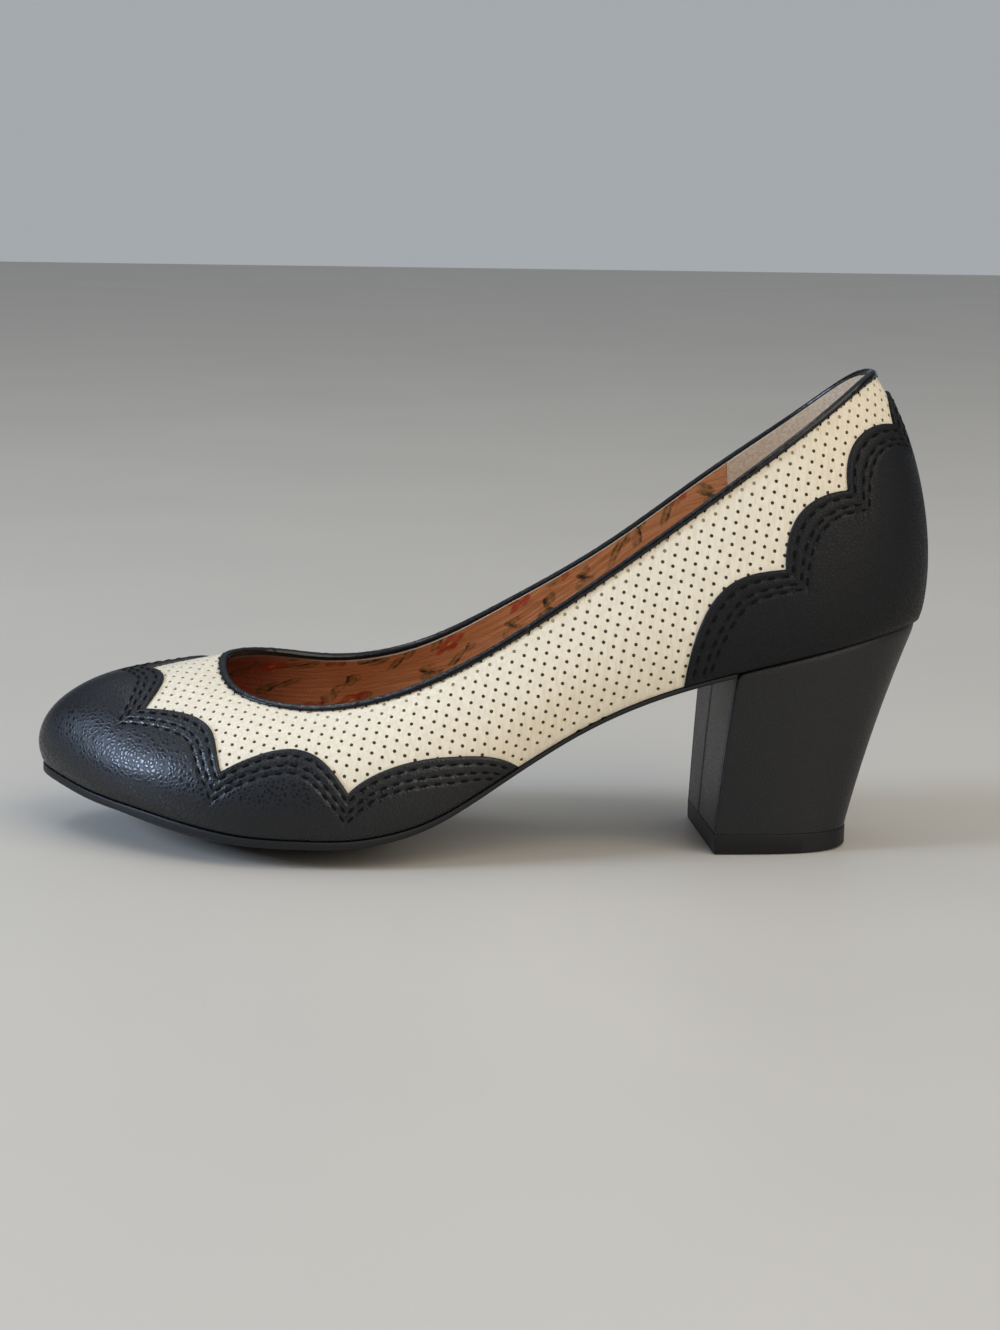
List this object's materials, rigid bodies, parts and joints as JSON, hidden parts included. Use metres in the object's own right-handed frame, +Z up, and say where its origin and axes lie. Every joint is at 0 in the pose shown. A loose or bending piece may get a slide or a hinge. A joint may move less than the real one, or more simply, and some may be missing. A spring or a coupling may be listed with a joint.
{
  "type": "high heel pump",
  "caption": "Left pump with a bound topline, a scalloped toe cap and heel counter over a two-tone upper, and a leather covered block heel.",
  "frame": {"origin": "on the floor, under the middle of the shoe's bounding box", "axes": "+X from toe to heel, +Y to the inner side of the foot, +Z up"},
  "size_m": [0.2388, 0.0836, 0.1271],
  "materials": {
    "cream_leather": "satin, perforated",
    "black_leather": "satin, fine grain",
    "brown_leather": "matte",
    "black_rubber": "matte"
  },
  "bodies": {
    "root": {"upper": "cream_leather", "topline_binding": "black_leather", "toe_cap": "black_leather", "heel_counter": "black_leather", "outsole": "black_rubber", "insole": "brown_leather", "heel": "black_leather", "heel_top_lift": "black_rubber"}
  },
  "joints": []
}
